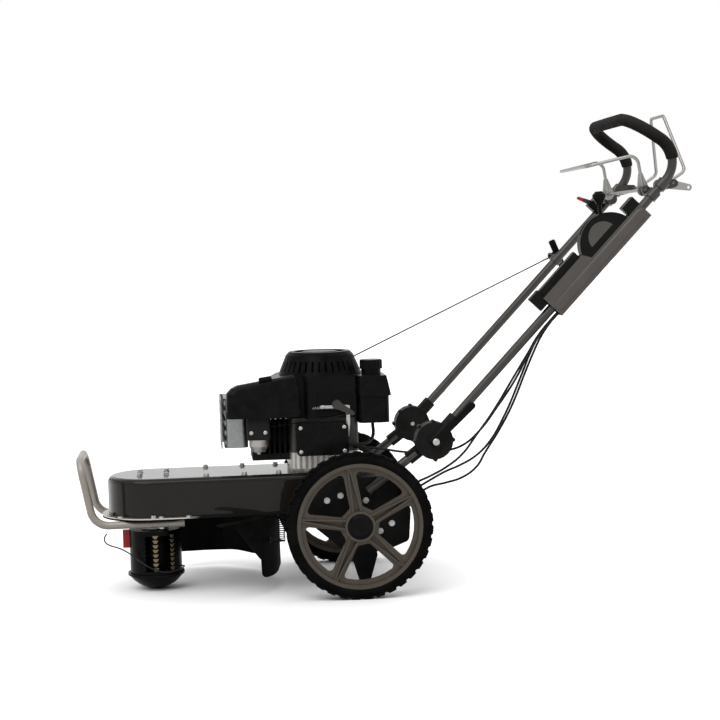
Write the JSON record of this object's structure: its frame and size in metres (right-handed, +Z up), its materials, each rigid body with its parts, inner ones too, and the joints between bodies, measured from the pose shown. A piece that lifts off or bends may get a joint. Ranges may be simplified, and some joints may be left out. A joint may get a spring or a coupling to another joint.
{
  "type": "wheeled string trimmer",
  "caption": "Walk-behind petrol string trimmer: belt-driven line head on a flat deck ahead of two spoked wheels, engine above, folding handle with bails, levers and starter grip.",
  "frame": {"origin": "middle of the bounding box on the ground", "axes": "+X to the rear, +Y to the machine's right, +Z up"},
  "size_m": [1.5199, 0.54, 1.1442],
  "materials": {
    "tyre": "moulded rubber tread",
    "wheel_plastic": "warm grey moulded wheel",
    "black_plastic": "black moulded plastic",
    "deck_paint": "dark brown-grey gloss enamel",
    "frame_paint": "black enamel",
    "bumper_paint": "warm grey enamel tube",
    "handle_paint": "dark metallic enamel tube",
    "console_steel": "grey sheet steel",
    "bright_steel": "zinc-plated steel",
    "cast_aluminium": "die-cast aluminium",
    "muffler_steel": "aluminised steel",
    "skirt_rubber": "sheet rubber",
    "foam": "closed-cell foam",
    "red_plastic": "red moulded plastic",
    "cord_black": "black cord",
    "ceramic": "boot over a ceramic plug"
  },
  "bodies": {
    "chassis": {"deck_housing": "deck_paint", "deck_base_plate": "deck_paint", "head_plate": "deck_paint", "chassis_frame": "frame_paint", "fasteners": "bright_steel", "bumper": "bumper_paint", "debris_skirt": "skirt_rubber", "skirt_spring": "bright_steel", "parking_foot": "frame_paint", "spindle_housing": "cast_aluminium", "drive_belts": "skirt_rubber", "gearbox": "frame_paint", "crankcase": "cast_aluminium", "cylinder_block": "cast_aluminium", "engine_shroud": "black_plastic", "recoil_cover": "black_plastic", "fuel_tank": "black_plastic", "air_filter_cover": "black_plastic", "carburettor": "cast_aluminium", "muffler": "muffler_steel", "muffler_guard": "muffler_steel", "side_cover": "black_plastic", "control_bracket": "bright_steel", "spark_plug": "ceramic", "fuel_hose": "skirt_rubber", "lower_handle_tubes": "handle_paint", "lower_hinge_discs": "black_plastic", "starter_rope": "cord_black", "control_cables": "cord_black"},
    "axle": {"axle": "bright_steel"},
    "left_wheel": {"tyre_left": "tyre", "rim_left": "wheel_plastic", "hub_cap_left": "black_plastic"},
    "right_wheel": {"tyre_right": "tyre", "rim_right": "wheel_plastic", "hub_cap_right": "black_plastic"},
    "trimmer_head": {"spindle": "bright_steel", "line_drum": "black_plastic", "line_clip": "red_plastic", "trimmer_line": "cord_black"},
    "mow_ball": {"mow_ball": "black_plastic"},
    "idler_arm": {"idler_arm": "bright_steel"},
    "gearbox_pulley": {"gearbox_pulley": "bright_steel"},
    "crankshaft": {"crankshaft": "bright_steel", "flywheel": "cast_aluminium"},
    "fuel_cap": {"fuel_cap": "black_plastic"},
    "handle": {"upper_hinge_discs": "black_plastic", "handlebar": "handle_paint", "foam_grips": "foam", "console": "console_steel", "console_covers": "black_plastic", "throttle_housing": "black_plastic", "handlebar_brackets": "bright_steel"},
    "clamp_lever_left": {"clamp_lever_left": "bright_steel"},
    "clamp_lever_right": {"clamp_lever_right": "bright_steel"},
    "shift_lever": {"shift_lever": "black_plastic"},
    "throttle_lever": {"throttle_lever": "red_plastic"},
    "front_bail": {"front_bail": "bright_steel"},
    "rear_bail": {"rear_bail": "bright_steel"},
    "starter_grip": {"starter_grip": "black_plastic"}
  },
  "joints": [
    {"name": "axle_spin", "type": "hinge", "parent": "chassis", "child": "axle", "pos_m": [-0.08837, 0, 0.175], "axis": [0, 1, 0], "continuous": true},
    {"name": "left_wheel_spin", "type": "hinge", "parent": "axle", "child": "left_wheel", "pos_m": [-0.08837, -0.243, 0.175], "axis": [0, 1, 0], "continuous": true},
    {"name": "right_wheel_spin", "type": "hinge", "parent": "axle", "child": "right_wheel", "pos_m": [-0.08837, 0.243, 0.175], "axis": [0, 1, 0], "continuous": true},
    {"name": "crankshaft_spin", "type": "hinge", "parent": "chassis", "child": "crankshaft", "pos_m": [-0.15438, 0, 0.235], "axis": [0, 0, 1], "continuous": true},
    {"name": "trimmer_head_spin", "type": "hinge", "parent": "chassis", "child": "trimmer_head", "pos_m": [-0.57637, 0, 0.15], "axis": [0, 0, 1], "continuous": true},
    {"name": "mow_ball_spin", "type": "hinge", "parent": "trimmer_head", "child": "mow_ball", "pos_m": [-0.57637, 0, 0.021], "axis": [0, 0, 1], "continuous": true},
    {"name": "gearbox_input_spin", "type": "hinge", "parent": "chassis", "child": "gearbox_pulley", "pos_m": [-0.05237, 0, 0.26], "axis": [0, 0, 1], "continuous": true},
    {"name": "idler_swing", "type": "hinge", "parent": "chassis", "child": "idler_arm", "pos_m": [-0.26837, -0.075, 0.235], "axis": [0, 0, 1], "range_deg": [-6, 0]},
    {"name": "fuel_cap_turn", "type": "hinge", "parent": "chassis", "child": "fuel_cap", "pos_m": [-0.03238, -0.062, 0.55], "axis": [0, 0, 1], "range_deg": [0, 120]},
    {"name": "handle_fold", "type": "hinge", "parent": "chassis", "child": "handle", "pos_m": [0.09963, 0, 0.367], "axis": [0, 1, 0], "range_deg": [-100, 10], "deforming": ["control_cables", "starter_rope"]},
    {"name": "clamp_lever_left_swing", "type": "hinge", "parent": "handle", "child": "clamp_lever_left", "pos_m": [0.09963, -0.236, 0.367], "axis": [0.7254, 0, -0.6884], "range_deg": [0, 100]},
    {"name": "clamp_lever_right_swing", "type": "hinge", "parent": "handle", "child": "clamp_lever_right", "pos_m": [0.09963, 0.236, 0.367], "axis": [-0.7254, 0, 0.6884], "range_deg": [0, 100]},
    {"name": "shift_lever_swing", "type": "hinge", "parent": "handle", "child": "shift_lever", "pos_m": [0.51863, -0.21, 0.84341], "axis": [0, 1, 0], "range_deg": [-62, 8]},
    {"name": "throttle_lever_swing", "type": "hinge", "parent": "handle", "child": "throttle_lever", "pos_m": [0.60337, 0.21, 0.9298], "axis": [0, 1, 0], "range_deg": [-35, 25]},
    {"name": "front_bail_close", "type": "hinge", "parent": "handle", "child": "front_bail", "pos_m": [0.63175, 0, 0.95389], "axis": [0, 1, 0], "range_deg": [0, 42], "stiffness_Nm_per_rad": 1.6, "springref_deg": -34.38},
    {"name": "rear_bail_close", "type": "hinge", "parent": "handle", "child": "rear_bail", "pos_m": [0.70141, 0, 0.96774], "axis": [0, 1, 0], "range_deg": [-30, 0], "stiffness_Nm_per_rad": 1.6, "springref_deg": 34.38},
    {"name": "starter_pull", "type": "slide", "parent": "handle", "child": "starter_grip", "axis": [0.8615, 0.3592, 0.3589], "range_m": [0, 0.45], "stiffness_N_per_m": 6, "springref_m": -0.5, "deforming": ["starter_rope"]}
  ],
  "couplings": [
    {"joint": "trimmer_head_spin", "follows": "crankshaft_spin", "ratio": 1},
    {"joint": "gearbox_input_spin", "follows": "crankshaft_spin", "ratio": 0.56803},
    {"joint": "idler_swing", "follows": "rear_bail_close", "ratio": 0.18}
  ]
}
